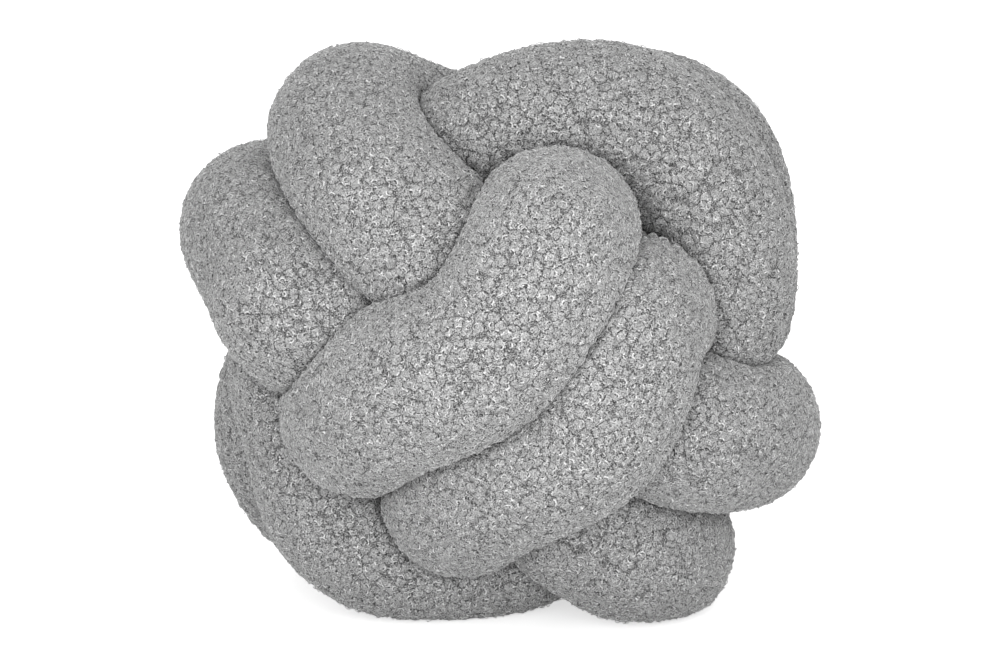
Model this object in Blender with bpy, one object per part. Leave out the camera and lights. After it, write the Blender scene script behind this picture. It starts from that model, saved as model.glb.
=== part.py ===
"""Knot cushion: one stuffed tube of pile cloth, tied into a round knot.

The tube makes two turns round each of three axes, every pair of turns lying over the
next pair, and both of its closed ends are tucked into the middle of the knot. Where two
stretches of the tube meet they press each other flat, and where the knot meets the
surface that it stands on it has small flat spots.

Units are metres, +Z is up, and the side that faces -Y is the front.
"""
from collections import namedtuple

import bpy
import numpy as np

# Driving dimensions
TUBE_RADIUS = 0.037        # half the width of the stuffed tube where nothing presses on it
PRESS_GAP = 0.0026         # space left between two stretches that press on each other
SIDES = 16                 # flat sides of the tube
RING_SPACING = 0.0119      # distance from one ring of corners to the next
FREE_LENGTH = 0.070        # a ring isn't pressed by tube that is nearer than this along it
REACH = 2.6                # stretches further off than this many radii don't press
FOLD_CROWDING = 0.82       # share of a bend's own radius that its inner side may fill
PRESS_ROUNDING = 10        # the higher, the sharper the edge of a pressed flat
END_TIP_RADIUS = 0.004     # the last ring at each closed end
PILE_COLOUR = (0.30, 0.30, 0.30, 1.0)

# The knot's own axes, as seen from the front: up to the right, up to the left, and
# out towards the viewer. The front pair of turns runs up to the right.
DIAGONAL = np.sqrt(0.5)
UP_RIGHT = np.array([DIAGONAL, 0.0, DIAGONAL])
UP_LEFT = np.array([-DIAGONAL, 0.0, DIAGONAL])
FRONT = np.array([0.0, -1.0, 0.0])
KNOT_MIDDLE = np.array([-0.0006, 0.0036, 0.127])   # over the middle of the space that the knot takes

# The tube's route, one row for each fold or crossing, one table for each turn.
Fold = namedtuple("Fold", "place right left front")

FRONT_RING = [
    Fold("closed end, tucked in", 0.026, 0.009, 0.022),
    Fold("rising behind the front pair", -0.024, 0.061, 0.017),
    Fold("left, under the upper left lobes", -0.066, 0.058, 0.022),
    Fold("left side", -0.089, 0.024, 0.027),
    Fold("lower left corner", -0.103, -0.001, 0.030),
    Fold("lower left bulge on the floor", -0.097, -0.036, 0.026),
    Fold("bottom, going inside", -0.060, -0.069, 0.017),
    Fold("under the lower right lobes", -0.003, -0.074, 0.021),
    Fold("right, coming out", 0.055, -0.065, 0.027),
    Fold("right side", 0.101, -0.035, 0.031),
    Fold("upper right corner", 0.120, 0.008, 0.030),
    Fold("top", 0.105, 0.041, 0.031),
    Fold("top, going inside", 0.060, 0.069, 0.027),
]
BACK_RING = [
    Fold("under the upper left lobes", 0.005, 0.067, -0.011),
    Fold("left, coming out", -0.040, 0.054, -0.032),
    Fold("left side", -0.098, 0.041, -0.031),
    Fold("lower left corner", -0.118, 0.001, -0.034),
    Fold("lower left bulge", -0.095, -0.038, -0.038),
    Fold("bottom, going inside", -0.061, -0.056, -0.041),
    Fold("under the lower right lobes", 0.005, -0.064, -0.036),
    Fold("right, coming out", 0.063, -0.072, -0.029),
    Fold("right side", 0.096, -0.050, -0.028),
    Fold("upper right corner", 0.118, -0.012, -0.029),
    Fold("top", 0.096, 0.035, -0.028),
    Fold("shoulder, turning forward", 0.043, 0.074, -0.022),
]
RIGHT_UPRIGHT = [
    Fold("upper left lobe", 0.024, 0.116, 0.002),
    Fold("its front", 0.016, 0.103, 0.045),
    Fold("going under the front pair", 0.016, 0.074, 0.070),
    Fold("under the front pair", 0.022, 0.006, 0.070),
    Fold("right, coming out", 0.036, -0.075, 0.063),
    Fold("right lobe", 0.050, -0.104, 0.030),
    Fold("its back", 0.046, -0.110, -0.008),
    Fold("right, going under the back pair", 0.036, -0.101, -0.054),
    Fold("crossing the back", 0.022, -0.057, -0.071),
    Fold("middle of the back", 0.005, -0.009, -0.067),
    Fold("left, coming out at the back", -0.019, 0.057, -0.066),
]
LEFT_UPRIGHT = [
    Fold("back of the left lobe", -0.036, 0.101, -0.037),
    Fold("left lobe", -0.042, 0.114, 0.006),
    Fold("its front", -0.043, 0.093, 0.049),
    Fold("going under the front pair", -0.045, 0.079, 0.062),
    Fold("under the front pair", -0.025, 0.006, 0.052),
    Fold("lower right, coming out", -0.026, -0.066, 0.051),
    Fold("lower right lobe", -0.019, -0.119, 0.023),
    Fold("its back", -0.023, -0.110, -0.030),
    Fold("lower right of the back", -0.027, -0.094, -0.063),
    Fold("turning over the back", -0.019, -0.069, -0.090),
]
LOWER_WRAP = [
    Fold("back, lower turn", 0.005, -0.046, -0.106),
    Fold("back, going to the right", 0.045, -0.032, -0.095),
    Fold("right, turning inside", 0.060, -0.032, -0.062),
    Fold("right leg", 0.054, -0.031, 0.001),
    Fold("right, coming to the front", 0.058, -0.030, 0.044),
    Fold("front, upper end", 0.051, -0.024, 0.090),
    Fold("front, middle", 0.016, -0.040, 0.099),
    Fold("front, lower end", -0.031, -0.032, 0.083),
    Fold("left, turning inside", -0.060, -0.032, 0.051),
    Fold("left leg", -0.059, -0.027, 0.004),
]
UPPER_WRAP = [
    Fold("left, coming to the back", -0.063, -0.001, -0.052),
    Fold("back, left end", -0.038, 0.020, -0.094),
    Fold("back, middle", -0.005, 0.027, -0.105),
    Fold("back, right end", 0.033, 0.030, -0.085),
    Fold("right, turning inside", 0.046, 0.028, -0.044),
    Fold("right leg", 0.058, 0.028, 0.009),
    Fold("right, coming to the front", 0.060, 0.025, 0.055),
    Fold("front, upper end", 0.057, 0.027, 0.100),
    Fold("front, middle", 0.013, 0.016, 0.113),
    Fold("front, lower end", -0.037, 0.028, 0.095),
    Fold("left, turning inside", -0.062, 0.026, 0.054),
    Fold("left leg", -0.047, 0.023, 0.018),
    Fold("inside the knot", -0.033, 0.006, -0.008),
    Fold("closed end, tucked in", -0.009, -0.017, -0.016),
]
ROUTE = FRONT_RING + BACK_RING + RIGHT_UPRIGHT + LEFT_UPRIGHT + LOWER_WRAP + UPPER_WRAP


def fold_point(fold):
    """The middle of the tube at a fold."""
    return KNOT_MIDDLE + fold.right * UP_RIGHT + fold.left * UP_LEFT + fold.front * FRONT


def lengths_along(points):
    """Distance of each point from the first one, measured along the line."""
    strides = np.linalg.norm(np.diff(points, axis=0), axis=1)
    return np.concatenate([[0.0], np.cumsum(strides)])


def smooth_line(points, spacing):
    """A cubic spline through the points, read again at an even spacing."""
    strides = np.sqrt(np.linalg.norm(np.diff(points, axis=0), axis=1))
    places = np.concatenate([[0.0], np.cumsum(strides)])
    slopes = np.diff(points, axis=0) / strides[:, None]
    system = np.eye(len(points))
    change = np.zeros_like(points)
    for i in range(1, len(points) - 1):
        system[i, i - 1:i + 2] = strides[i - 1], 2.0 * (strides[i - 1] + strides[i]), strides[i]
        change[i] = 6.0 * (slopes[i] - slopes[i - 1])
    bends = np.linalg.solve(system, change)

    fine = np.linspace(0.0, places[-1], 60 * len(points))
    span = np.clip(np.searchsorted(places, fine, side="right") - 1, 0, len(points) - 2)
    after = ((fine - places[span]) / strides[span])[:, None]
    before = 1.0 - after
    bow = (before**3 - before) * bends[span] + (after**3 - after) * bends[span + 1]
    curve = before * points[span] + after * points[span + 1] + bow * (strides[span]**2 / 6.0)[:, None]

    along = lengths_along(curve)
    even = np.linspace(0.0, along[-1], int(round(along[-1] / spacing)) + 1)
    return np.stack([np.interp(even, along, curve[:, axis]) for axis in range(3)], axis=1)


def unit(vectors):
    """The same directions at length 1."""
    return vectors / np.linalg.norm(vectors, axis=-1, keepdims=True)


def ring_directions(line):
    """Outward directions of each ring's corners, turning as little as they can along the tube."""
    forward = unit(np.gradient(line, axis=0))
    across = np.zeros_like(line)
    across[0] = unit(np.cross(forward[0], (0.0, 0.0, 1.0)))
    for i in range(1, len(line)):
        across[i] = unit(across[i - 1] - forward[i] * (across[i - 1] @ forward[i]))
    beside = np.cross(forward, across)
    angles = np.arange(SIDES) * (2.0 * np.pi / SIDES)
    return (np.cos(angles)[None, :, None] * across[:, None, :]
            + np.sin(angles)[None, :, None] * beside[:, None, :])


def free_radii(along):
    """Radius of each ring with nothing pressing on it: full, and rounded off at both ends."""
    from_end = np.minimum(along, along[-1] - along)
    short_of_full = np.clip(TUBE_RADIUS - from_end, 0.0, TUBE_RADIUS)
    return np.maximum(np.sqrt(TUBE_RADIUS**2 - short_of_full**2), END_TIP_RADIUS)


def pressed_limits(line, along, outward):
    """How far each corner can stand out before it meets the next stretch halfway."""
    limits = np.full(outward.shape[:2], np.inf)
    for i in range(len(line)):
        offsets = line - line[i]
        squares = (offsets**2).sum(axis=1)
        pressing = (np.abs(along - along[i]) > FREE_LENGTH) & (squares < (REACH * TUBE_RADIUS)**2)
        facing = outward[i] @ offsets[pressing].T
        halfway = np.where(facing > 1e-6, squares[pressing] / np.maximum(2.0 * facing, 1e-6), np.inf)
        limits[i] = halfway.min(axis=1, initial=np.inf) - PRESS_GAP / 2.0
    return limits


def bend_limits(line, outward):
    """How far each corner can stand out on the inner side of its own bend."""
    spacing = np.linalg.norm(line[1] - line[0])
    turning = np.gradient(unit(np.gradient(line, axis=0)), axis=0) / spacing
    inward = np.einsum("ijk,ik->ij", outward, turning)
    return np.where(inward > 1e-3, FOLD_CROWDING / np.maximum(inward, 1e-3), np.inf)


def soften(radii):
    """Even out each corner's radius with its neighbours', along the tube and round it."""
    padded = np.concatenate([radii[:1], radii, radii[-1:]], axis=0)
    along_tube = (padded[:-2] + 2.0 * radii + padded[2:]) / 4.0
    return (np.roll(along_tube, 1, axis=1) + 2.0 * along_tube + np.roll(along_tube, -1, axis=1)) / 4.0


def tube_rings():
    """Corners of every ring of the tube, as an array of rings by sides by XYZ."""
    line = smooth_line(np.array([fold_point(fold) for fold in ROUTE]), RING_SPACING)
    along = lengths_along(line)
    outward = ring_directions(line)
    limits = np.minimum(pressed_limits(line, along, outward), bend_limits(line, outward))
    free = free_radii(along)[:, None]
    radii = (limits**-PRESS_ROUNDING + free**-PRESS_ROUNDING)**(-1.0 / PRESS_ROUNDING)
    radii = np.minimum(soften(radii), limits)
    rings = line[:, None, :] + radii[:, :, None] * outward
    rings[:, :, 2] = np.maximum(rings[:, :, 2], 0.0)
    return rings


def tube_mesh(rings):
    """A closed mesh: four-sided faces between neighbouring rings and a flat tip at each end."""
    count = len(rings)
    corners = rings.reshape(-1, 3)
    corner = np.arange(count * SIDES).reshape(count, SIDES)
    following = np.roll(corner, -1, axis=1)
    walls = np.stack([corner[:-1], following[:-1], following[1:], corner[1:]], axis=-1).reshape(-1, 4)
    tips = [corner[0, ::-1].tolist(), corner[-1].tolist()]
    mesh = bpy.data.meshes.new("knot_tube")
    mesh.from_pydata(corners.tolist(), [], walls.tolist() + tips)
    mesh.shade_smooth()
    return mesh


def pile_cloth():
    """Grey teddy pile: no shine, with the soft bright rim that fibres give."""
    material = bpy.data.materials.new("pile_cloth")
    material.use_nodes = True
    shader = material.node_tree.nodes["Principled BSDF"]
    shader.inputs["Base Color"].default_value = PILE_COLOUR
    shader.inputs["Roughness"].default_value = 0.95
    shader.inputs["Metallic"].default_value = 0.0
    shader.inputs["Sheen Weight"].default_value = 0.4
    return material


def main():
    for leftover in list(bpy.data.objects):
        bpy.data.objects.remove(leftover)
    mesh = tube_mesh(tube_rings())
    mesh.materials.append(pile_cloth())
    tube = bpy.data.objects.new("knot_tube", mesh)
    bpy.context.scene.collection.objects.link(tube)


main()
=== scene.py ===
"""Looks of the knot cushion: its teddy pile, the loose curls on it, and the studio round it.

The cushion is one stuffed tube of curled pile cloth tied into a round knot. The tube's route is the
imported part's own, apart from five folds at the corners of the two outer turns, which lie 3 to 7 mm
from where the part has them. The cloth is shown by the tips of its pile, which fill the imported
part's outer surface: clumps of pile with gaps between them, and fine loose curls that stand out
of the clumps. Units are metres, and millimetres in the tables.
"""

import functools
import math
from collections import namedtuple

import bpy
import numpy as np
from bpy.props import FloatProperty, FloatVectorProperty, IntProperty, PointerProperty
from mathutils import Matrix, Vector
from mathutils.bvhtree import BVHTree


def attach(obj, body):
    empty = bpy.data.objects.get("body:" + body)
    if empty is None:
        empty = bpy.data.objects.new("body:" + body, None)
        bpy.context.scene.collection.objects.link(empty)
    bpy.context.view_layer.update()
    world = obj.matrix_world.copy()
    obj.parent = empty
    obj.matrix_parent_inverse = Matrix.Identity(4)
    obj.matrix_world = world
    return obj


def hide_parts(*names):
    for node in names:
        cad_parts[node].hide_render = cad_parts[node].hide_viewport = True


bl_info = {
    "name": "Knot cushion",
    "version": (1, 0, 0),
    "blender": (4, 5, 0),
    "location": "3D View > Sidebar > Knot cushion",
    "description": "A round knot cushion tied from one stuffed tube of curled pile cloth",
    "category": "Add Mesh",
}

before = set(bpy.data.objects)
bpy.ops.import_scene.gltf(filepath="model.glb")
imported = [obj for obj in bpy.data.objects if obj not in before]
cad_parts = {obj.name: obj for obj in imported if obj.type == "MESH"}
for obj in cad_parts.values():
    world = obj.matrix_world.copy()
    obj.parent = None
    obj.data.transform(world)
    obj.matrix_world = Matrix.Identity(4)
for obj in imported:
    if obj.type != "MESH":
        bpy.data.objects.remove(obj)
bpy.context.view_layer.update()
CAD_NODE = "knot_tube"

# The knot's own axes, as seen from the front: up to the right, up to the left, and
# out towards the viewer. The front pair of turns runs up to the right.
DIAGONAL = math.sqrt(0.5)
UP_RIGHT = np.array([DIAGONAL, 0.0, DIAGONAL])
UP_LEFT = np.array([-DIAGONAL, 0.0, DIAGONAL])
FRONT = np.array([0.0, -1.0, 0.0])
KNOT_MIDDLE = np.array([-0.0006, 0.0036, 0.127])

# Columns of the tables that are given in millimetres, and kept in metres
LENGTHS = ("right", "left", "front", "reach", "depth", "height")


def table(columns, rows):
    """A table with named columns."""
    Row = namedtuple("Row", columns)
    return [Row(*(value / 1000.0 if name in LENGTHS else value for name, value in zip(Row._fields, row)))
            for row in rows]


# The tube's route, one row for each fold or crossing, one table for each turn
FOLD = "place right left front"

FRONT_RING = table(FOLD, [
    ("closed end, tucked in", 26, 9, 22),
    ("rising behind the front pair", -24, 61, 17),
    ("left, under the upper left lobes", -66, 58, 22),
    ("left side", -89, 24, 27),
    ("lower left corner", -103, -1, 30),
    ("lower left bulge on the floor", -97, -36, 26),
    ("bottom, going inside", -60, -69, 17),
    ("under the lower right lobes", -3, -74, 21),
    ("right, coming out", 55, -65, 27),
    ("right side", 101, -35, 31),
    ("upper right corner", 116.5, 8, 31),
    ("top", 105, 41, 31),
    ("top, going inside", 60, 69, 27),
])
BACK_RING = table(FOLD, [
    ("under the upper left lobes", 5, 67, -11),
    ("left, coming out", -40, 54, -32),
    ("left side", -99, 41, -34),
    ("lower left corner", -119, 1, -39),
    ("lower left bulge", -96, -38, -42),
    ("bottom, going inside", -61, -56, -41),
    ("under the lower right lobes", 5, -64, -36),
    ("right, coming out", 63, -72, -29),
    ("right side", 96, -50, -28),
    ("upper right corner", 121, -7, -32),
    ("top", 96, 35, -28),
    ("shoulder, turning forward", 43, 74, -22),
])
RIGHT_UPRIGHT = table(FOLD, [
    ("upper left lobe", 24, 116, 2),
    ("its front", 16, 103, 45),
    ("going under the front pair", 16, 74, 70),
    ("under the front pair", 22, 6, 70),
    ("right, coming out", 36, -75, 63),
    ("right lobe", 50, -104, 30),
    ("its back", 46, -110, -8),
    ("right, going under the back pair", 36, -101, -54),
    ("crossing the back", 22, -57, -71),
    ("middle of the back", 5, -9, -67),
    ("left, coming out at the back", -19, 57, -66),
])
LEFT_UPRIGHT = table(FOLD, [
    ("back of the left lobe", -36, 101, -37),
    ("left lobe", -42, 114, 6),
    ("its front", -43, 93, 49),
    ("going under the front pair", -45, 79, 62),
    ("under the front pair", -25, 6, 52),
    ("lower right, coming out", -26, -66, 51),
    ("lower right lobe", -19, -119, 23),
    ("its back", -23, -110, -30),
    ("lower right of the back", -27, -94, -63),
    ("turning over the back", -19, -69, -90),
])
LOWER_WRAP = table(FOLD, [
    ("back, lower turn", 5, -46, -106),
    ("back, going to the right", 45, -32, -95),
    ("right, turning inside", 60, -32, -62),
    ("right leg", 54, -31, 1),
    ("right, coming to the front", 58, -30, 44),
    ("front, upper end", 51, -24, 90),
    ("front, middle", 16, -40, 99),
    ("front, lower end", -31, -32, 83),
    ("left, turning inside", -60, -32, 51),
    ("left leg", -59, -27, 4),
])
UPPER_WRAP = table(FOLD, [
    ("left, coming to the back", -63, -1, -52),
    ("back, left end", -38, 20, -94),
    ("back, middle", -5, 27, -105),
    ("back, right end", 33, 30, -85),
    ("right, turning inside", 46, 28, -44),
    ("right leg", 58, 28, 9),
    ("right, coming to the front", 60, 25, 55),
    ("front, upper end", 57, 27, 100),
    ("front, middle", 13, 16, 113),
    ("front, lower end", -37, 28, 95),
    ("left, turning inside", -62, 26, 54),
    ("left leg", -47, 23, 18),
    ("inside the knot", -33, 6, -8),
    ("closed end, tucked in", -9, -17, -16),
])
TURNS = {
    "front_ring": FRONT_RING,
    "back_ring": BACK_RING,
    "right_upright": RIGHT_UPRIGHT,
    "left_upright": LEFT_UPRIGHT,
    "lower_wrap": LOWER_WRAP,
    "upper_wrap": UPPER_WRAP,
}

# Where the cloth is drawn in, short folds run out from a point: how many in a full round,
# how far they reach, how deep they are and which way the first one runs.
GATHERS = table("place right left front folds reach depth turn", [
    ("beside the front pair's upper end", 84, -12, 55, 11, 36, 4, 0.3),
    ("where the front pair crosses the left lobes", -5, 78, 60, 9, 26, 1.8, 1.1),
    ("between the front pair's lower ends", -82, 0, 62, 9, 28, 2, 0.6),
    ("between the right lobes", 0, -85, 50, 9, 30, 2.2, 0.2),
    ("between the two top lobes", 52, 98, 20, 9, 26, 2, 0.9),
    ("between the front pair", 50, -4, 108, 13, 36, 2.4, 0.5),
])

# Where stretches lie so close that the pile closes the crease between them: how far that
# reaches, and how far the pile stands up there beyond what it does in every crease.
CLOSED_CREASES = table("place right left front reach height", [
    ("between the front pair, upper half", 48, -10, 112, 42, 8.5),
    ("between the front pair and the left lobes", 0, 56, 85, 40, 6),
    ("below the front pair's lower end", -45, 55, 78, 40, 7),
])

# How finely the tube is worked out
LINE_STEP = 0.00125        # from one point of the middle line to the next
SPLINE_READS = 120         # points read on the curve for each fold, before even spacing
RING_STRIDE = 3            # every third point of the middle line carries a ring of radii
ANGLES = 72                # directions round the tube in which its radius is worked out
SKY_STRIDE = 2             # every second ring and direction is tested for what it sees

# How the tube's shape comes out
FREE_LENGTH = 0.070        # a ring isn't pressed by tube that is nearer than this along it
REACH = 2.6                # stretches further off than this many radii don't press
FOLD_CROWDING = 0.85       # share of a bend's own radius that its inner side may fill
PRESS_ROUNDING = 40        # the higher, the sharper the edge of a pressed flat
CREASE_FILL = 0.0012       # how far pile tips stand up into a crease, where they meet
CREASE_REACH = 0.0016      # how quickly that fades beside the crease
END_TIP_RADIUS = 0.004     # the last ring at each closed end

# How closely mesh corners stand
HIDDEN_SHARE = 0.22        # how many corners hidden cloth has, next to cloth that shows
SHOWN_GAIN = 3.0           # cloth that sees a third of the sky counts as shown
FULL_RINGS = 80            # percentage of the rings that get all the corners they need

# How a clump of pile stands, as shares of its width or height
GAP_SLOPE = 0.22           # width of the slope between a gap's bottom and the clump's shoulder
CROWN_REACH = 0.9          # distance from its middle at which its crown has fallen off
CROWN_SHARE = 0.25         # height of the crown, next to the shoulder's
HEIGHT_SPREAD = 0.25       # how much less the lowest clump stands up than the highest
SKIN_HEIGHT = 0.8          # height at which the tube's smooth skin lies

# Lumps of stuffing begin where a twentieth of the sky is seen, and are full at a quarter of it
LUMP_GAIN = 5.0
LUMP_LOSS = 0.25

# How the loose curls lie
CURL_TRIES = 400000        # places tried on the cloth to find its clumps
CURL_LUCK = (0.8, 1.2)     # how far chance decides which clumps have a curl
CURL_POINTS = 7
CURL_TURN = (0.2, 0.55)    # share of a full round that a curl bends through
CURL_REACH = (0.35, 0.95)  # how far from the clump's middle it starts, as a share of its radius
CURL_CLOSING = 0.25        # share of that distance that it comes in again
CURL_LIFT = 0.0009         # how far the highest curls stand out of the pile
LOW_CURL = 0.1             # the same for the lowest curls, as the root of their share of it
CURL_ENDS = (0.45, 0.35)   # thickness of a curl's first and last point, next to the rest
CURL_MESHES = 3

Tube = namedtuple("Tube", "line across beside length girth radii sky")


# ---------------------------------------------------------------- sizes and colours

class KnotCushionShape(bpy.types.PropertyGroup):
    """Sizes of the stuffed tube."""
    tube_radius: FloatProperty(
        name="Tube radius", default=0.0385, unit="LENGTH",
        description="Half the width of the tube, pile included, where nothing presses on it")
    pile_meshing: FloatProperty(
        name="Pile meshing", default=0.0030, unit="LENGTH",
        description="How far pile tips reach past each other where stretches press together")
    lump_depth: FloatProperty(
        name="Lump depth", default=0.0010, unit="LENGTH",
        description="How far the stuffing's uneven places fall in")
    lump_size: FloatProperty(
        name="Lump size", default=0.042, unit="LENGTH",
        description="Length of one uneven place in the stuffing")


class KnotCushionPile(bpy.types.PropertyGroup):
    """Sizes and colours of the curled pile."""
    corner_spacing: FloatProperty(
        name="Corner spacing", default=0.00128, unit="LENGTH",
        description="Distance between mesh corners on cloth that shows")
    clump_size: FloatProperty(
        name="Clump size", default=0.0045, unit="LENGTH", description="Width of one clump of curled pile")
    clump_depth: FloatProperty(
        name="Clump depth", default=0.0016, unit="LENGTH", description="Depth of the gaps between clumps")
    tip_spread: FloatProperty(
        name="Tip spread", default=0.0004, unit="LENGTH",
        description="How far single pile tips stand above or below the rest")
    curl_count: IntProperty(
        name="Loose curls", default=11000, description="Number of fine curls that stand out of the clumps")
    fibre_radius: FloatProperty(
        name="Fibre radius", default=0.00020, unit="LENGTH",
        description="Half the thickness of the lock of fibre that makes a curl")
    colour: FloatVectorProperty(
        name="Pile colour", default=(0.337, 0.337, 0.337), size=3, subtype="COLOR",
        description="Colour of the pile at the tips")
    # Gap shade colour is painted shade: the pile's colour deep between the clumps, where shade falls
    gap_shade_colour: FloatVectorProperty(
        name="Gap shade colour", default=(0.125, 0.125, 0.125), size=3, subtype="COLOR",
        description="Colour deep between the clumps")
    seed: IntProperty(name="Seed", default=7, description="Number that the uneven places come from")


class KnotCushionStudio(bpy.types.PropertyGroup):
    """The floor, the camera and the lights."""
    floor_size: FloatProperty(
        name="Floor size", default=24.0, unit="LENGTH", description="Side of the square floor")
    floor_colour: FloatVectorProperty(
        name="Floor colour", default=(0.80, 0.80, 0.80), size=3, subtype="COLOR",
        description="Colour of the plain floor")
    floor_glow: FloatProperty(
        name="Floor glow", default=0.64,
        description="Light that the floor adds to itself where the camera sees it")
    camera_distance: FloatProperty(
        name="Camera distance", default=1.5, unit="LENGTH",
        description="From the middle of the knot to the camera")
    camera_height_angle: FloatProperty(
        name="Camera angle", default=math.radians(12.0), subtype="ANGLE",
        description="How far the camera stands above the horizon")
    camera_lens: FloatProperty(
        name="Lens", default=115.14, unit="CAMERA", description="Focal length on a 36 mm sensor")
    sky_strength: FloatProperty(
        name="Sky strength", default=0.89, description="Strength of the even light from all round")
    key_strength: FloatProperty(
        name="Key light", default=0.36,
        description="Strength of the soft light from above, on the left of the camera")
    front_power: FloatProperty(
        name="Front lamp", default=1.2, unit="POWER", description="Power of the wide lamp close in front")
    back_strength: FloatProperty(
        name="Back light", default=0.6, description="Strength of the soft light from behind the cushion")


# ---------------------------------------------------------------- the tube

def fold_point(fold):
    """The point that a row of a table stands for."""
    return KNOT_MIDDLE + fold.right * UP_RIGHT + fold.left * UP_LEFT + fold.front * FRONT


def lengths_along(points):
    """Distance of each point from the first one, measured along the line."""
    strides = np.linalg.norm(np.diff(points, axis=0), axis=1)
    return np.concatenate([[0.0], np.cumsum(strides)])


def smooth_line(points, spacing):
    """A cubic spline through the points, read again at an even spacing."""
    strides = np.sqrt(np.linalg.norm(np.diff(points, axis=0), axis=1))
    places = np.concatenate([[0.0], np.cumsum(strides)])
    slopes = np.diff(points, axis=0) / strides[:, None]
    system = np.eye(len(points))
    change = np.zeros_like(points)
    for i in range(1, len(points) - 1):
        system[i, i - 1:i + 2] = strides[i - 1], 2.0 * (strides[i - 1] + strides[i]), strides[i]
        change[i] = 6.0 * (slopes[i] - slopes[i - 1])
    bends = np.linalg.solve(system, change)

    fine = np.linspace(0.0, places[-1], SPLINE_READS * len(points))
    span = np.clip(np.searchsorted(places, fine, side="right") - 1, 0, len(points) - 2)
    after = ((fine - places[span]) / strides[span])[:, None]
    before = 1.0 - after
    bow = (before**3 - before) * bends[span] + (after**3 - after) * bends[span + 1]
    bow *= (strides[span]**2 / 6.0)[:, None]
    curve = before * points[span] + after * points[span + 1] + bow

    along = lengths_along(curve)
    even = np.linspace(0.0, along[-1], int(round(along[-1] / spacing)) + 1)
    return np.stack([np.interp(even, along, curve[:, axis]) for axis in range(3)], axis=1)


def unit(vectors):
    """The same directions at length 1."""
    return vectors / np.linalg.norm(vectors, axis=-1, keepdims=True)


def cross_axes(line):
    """Two directions across the line at each point, turning as little as they can along it."""
    forward = unit(np.gradient(line, axis=0))
    across = np.zeros_like(line)
    across[0] = unit(np.cross(forward[0], (0.0, 0.0, 1.0)))
    for i in range(1, len(line)):
        across[i] = unit(across[i - 1] - forward[i] * (across[i - 1] @ forward[i]))
    return across, np.cross(forward, across)


def directions(across, beside, angles):
    """Outward directions at the given angles round a line."""
    return np.cos(angles)[..., None] * across + np.sin(angles)[..., None] * beside


def free_radii(along, length, radius):
    """Radius with nothing pressing on the tube: full, and rounded off at both ends."""
    short_of_full = np.clip(radius - np.minimum(along, length - along), 0.0, radius)
    return np.maximum(np.sqrt(radius**2 - short_of_full**2), END_TIP_RADIUS)


def pressed_limits(line, along, outward, radius, meshing):
    """How far each corner can stand out before it meets the next stretch halfway."""
    level = 1e-6
    limits = np.full(outward.shape[:2], np.inf)
    for i in range(len(line)):
        offsets = line - line[i]
        squares = (offsets**2).sum(axis=1)
        pressing = (np.abs(along - along[i]) > FREE_LENGTH) & (squares < (REACH * radius)**2)
        facing = outward[i] @ offsets[pressing].T
        halfway = squares[pressing] / np.maximum(2.0 * facing, level)
        halfway = np.where(facing > level, halfway, np.inf)
        limits[i] = halfway.min(axis=1, initial=np.inf) + meshing / 2.0
    return limits


def bend_limits(line, outward):
    """How far each corner can stand out on the inner side of its own bend."""
    straight = 1e-3
    spacing = np.linalg.norm(line[1] - line[0])
    turning = np.gradient(unit(np.gradient(line, axis=0)), axis=0) / spacing
    inward = np.einsum("ijk,ik->ij", outward, turning)
    return np.where(inward > straight, FOLD_CROWDING / np.maximum(inward, straight), np.inf)


def floor_limits(line, outward):
    """How far each corner can stand out before it meets the floor."""
    return line[:, None, 2] / np.maximum(-outward[:, :, 2], 1e-6)


def crease_fill(line, outward, radius):
    """How far the pile stands up beyond the tube's own radius, where a crease is."""
    skin = line[:, None, :] + radius * outward
    fill = np.full(skin.shape[:2], CREASE_FILL)
    for crease in CLOSED_CREASES:
        nearness = 1.0 - np.linalg.norm(skin - fold_point(crease), axis=2) / crease.reach
        fill += crease.height * np.clip(nearness, 0.0, 1.0)**0.5
    return fill


def soften(values, passes):
    """Even out a grid of rings by directions with its neighbours, along the tube and round it."""
    for _ in range(passes):
        padded = np.concatenate([values[:1], values, values[-1:]], axis=0)
        values = (padded[:-2] + 2.0 * values + padded[2:]) / 4.0
        values = (np.roll(values, 1, axis=1) + 2.0 * values + np.roll(values, -1, axis=1)) / 4.0
    return values


def walls_between(index):
    """Four-sided faces between neighbouring rings, from the numbers of their corners."""
    following = np.roll(index, -1, axis=-1)
    corners = (index[..., :-1, :], following[..., :-1, :], following[..., 1:, :], index[..., 1:, :])
    return np.stack(corners, axis=-1).reshape(-1, 4)


def open_sky(corners, outward):
    """Share of the directions out of each corner that leave the knot without meeting it."""
    sideways_rays, lean = 8, 1.1
    clear, far = 0.0015, 0.4
    rings, sides = corners.shape[:2]
    walls = walls_between(np.arange(rings * sides).reshape(rings, sides))
    tree = BVHTree.FromPolygons(corners.reshape(-1, 3).tolist(), walls.tolist())
    forward = unit(np.gradient(corners.mean(axis=1), axis=0))
    sky = np.zeros((rings, sides))
    for i in range(rings):
        sideways = unit(np.cross(forward[i], outward[i]))
        for j in range(sides):
            origin = Vector(corners[i, j] + clear * outward[i, j])
            rays = [outward[i, j]]
            for turn in range(sideways_rays):
                angle = turn * math.tau / sideways_rays
                spread = math.cos(angle) * forward[i] + math.sin(angle) * sideways[j]
                rays.append(outward[i, j] + lean * spread)
            free = sum(tree.ray_cast(origin, Vector(ray), far)[0] is None for ray in rays)
            sky[i, j] = free / len(rays)
    return sky


def spline_shares(part):
    """Shares of four neighbours in a smooth curve that passes through the middle two."""
    return (((-0.5 * part + 1.0) * part - 0.5) * part, (1.5 * part - 2.5) * part * part + 1.0,
            ((-1.5 * part + 2.0) * part + 0.5) * part, (0.5 * part - 0.5) * part * part)


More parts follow.
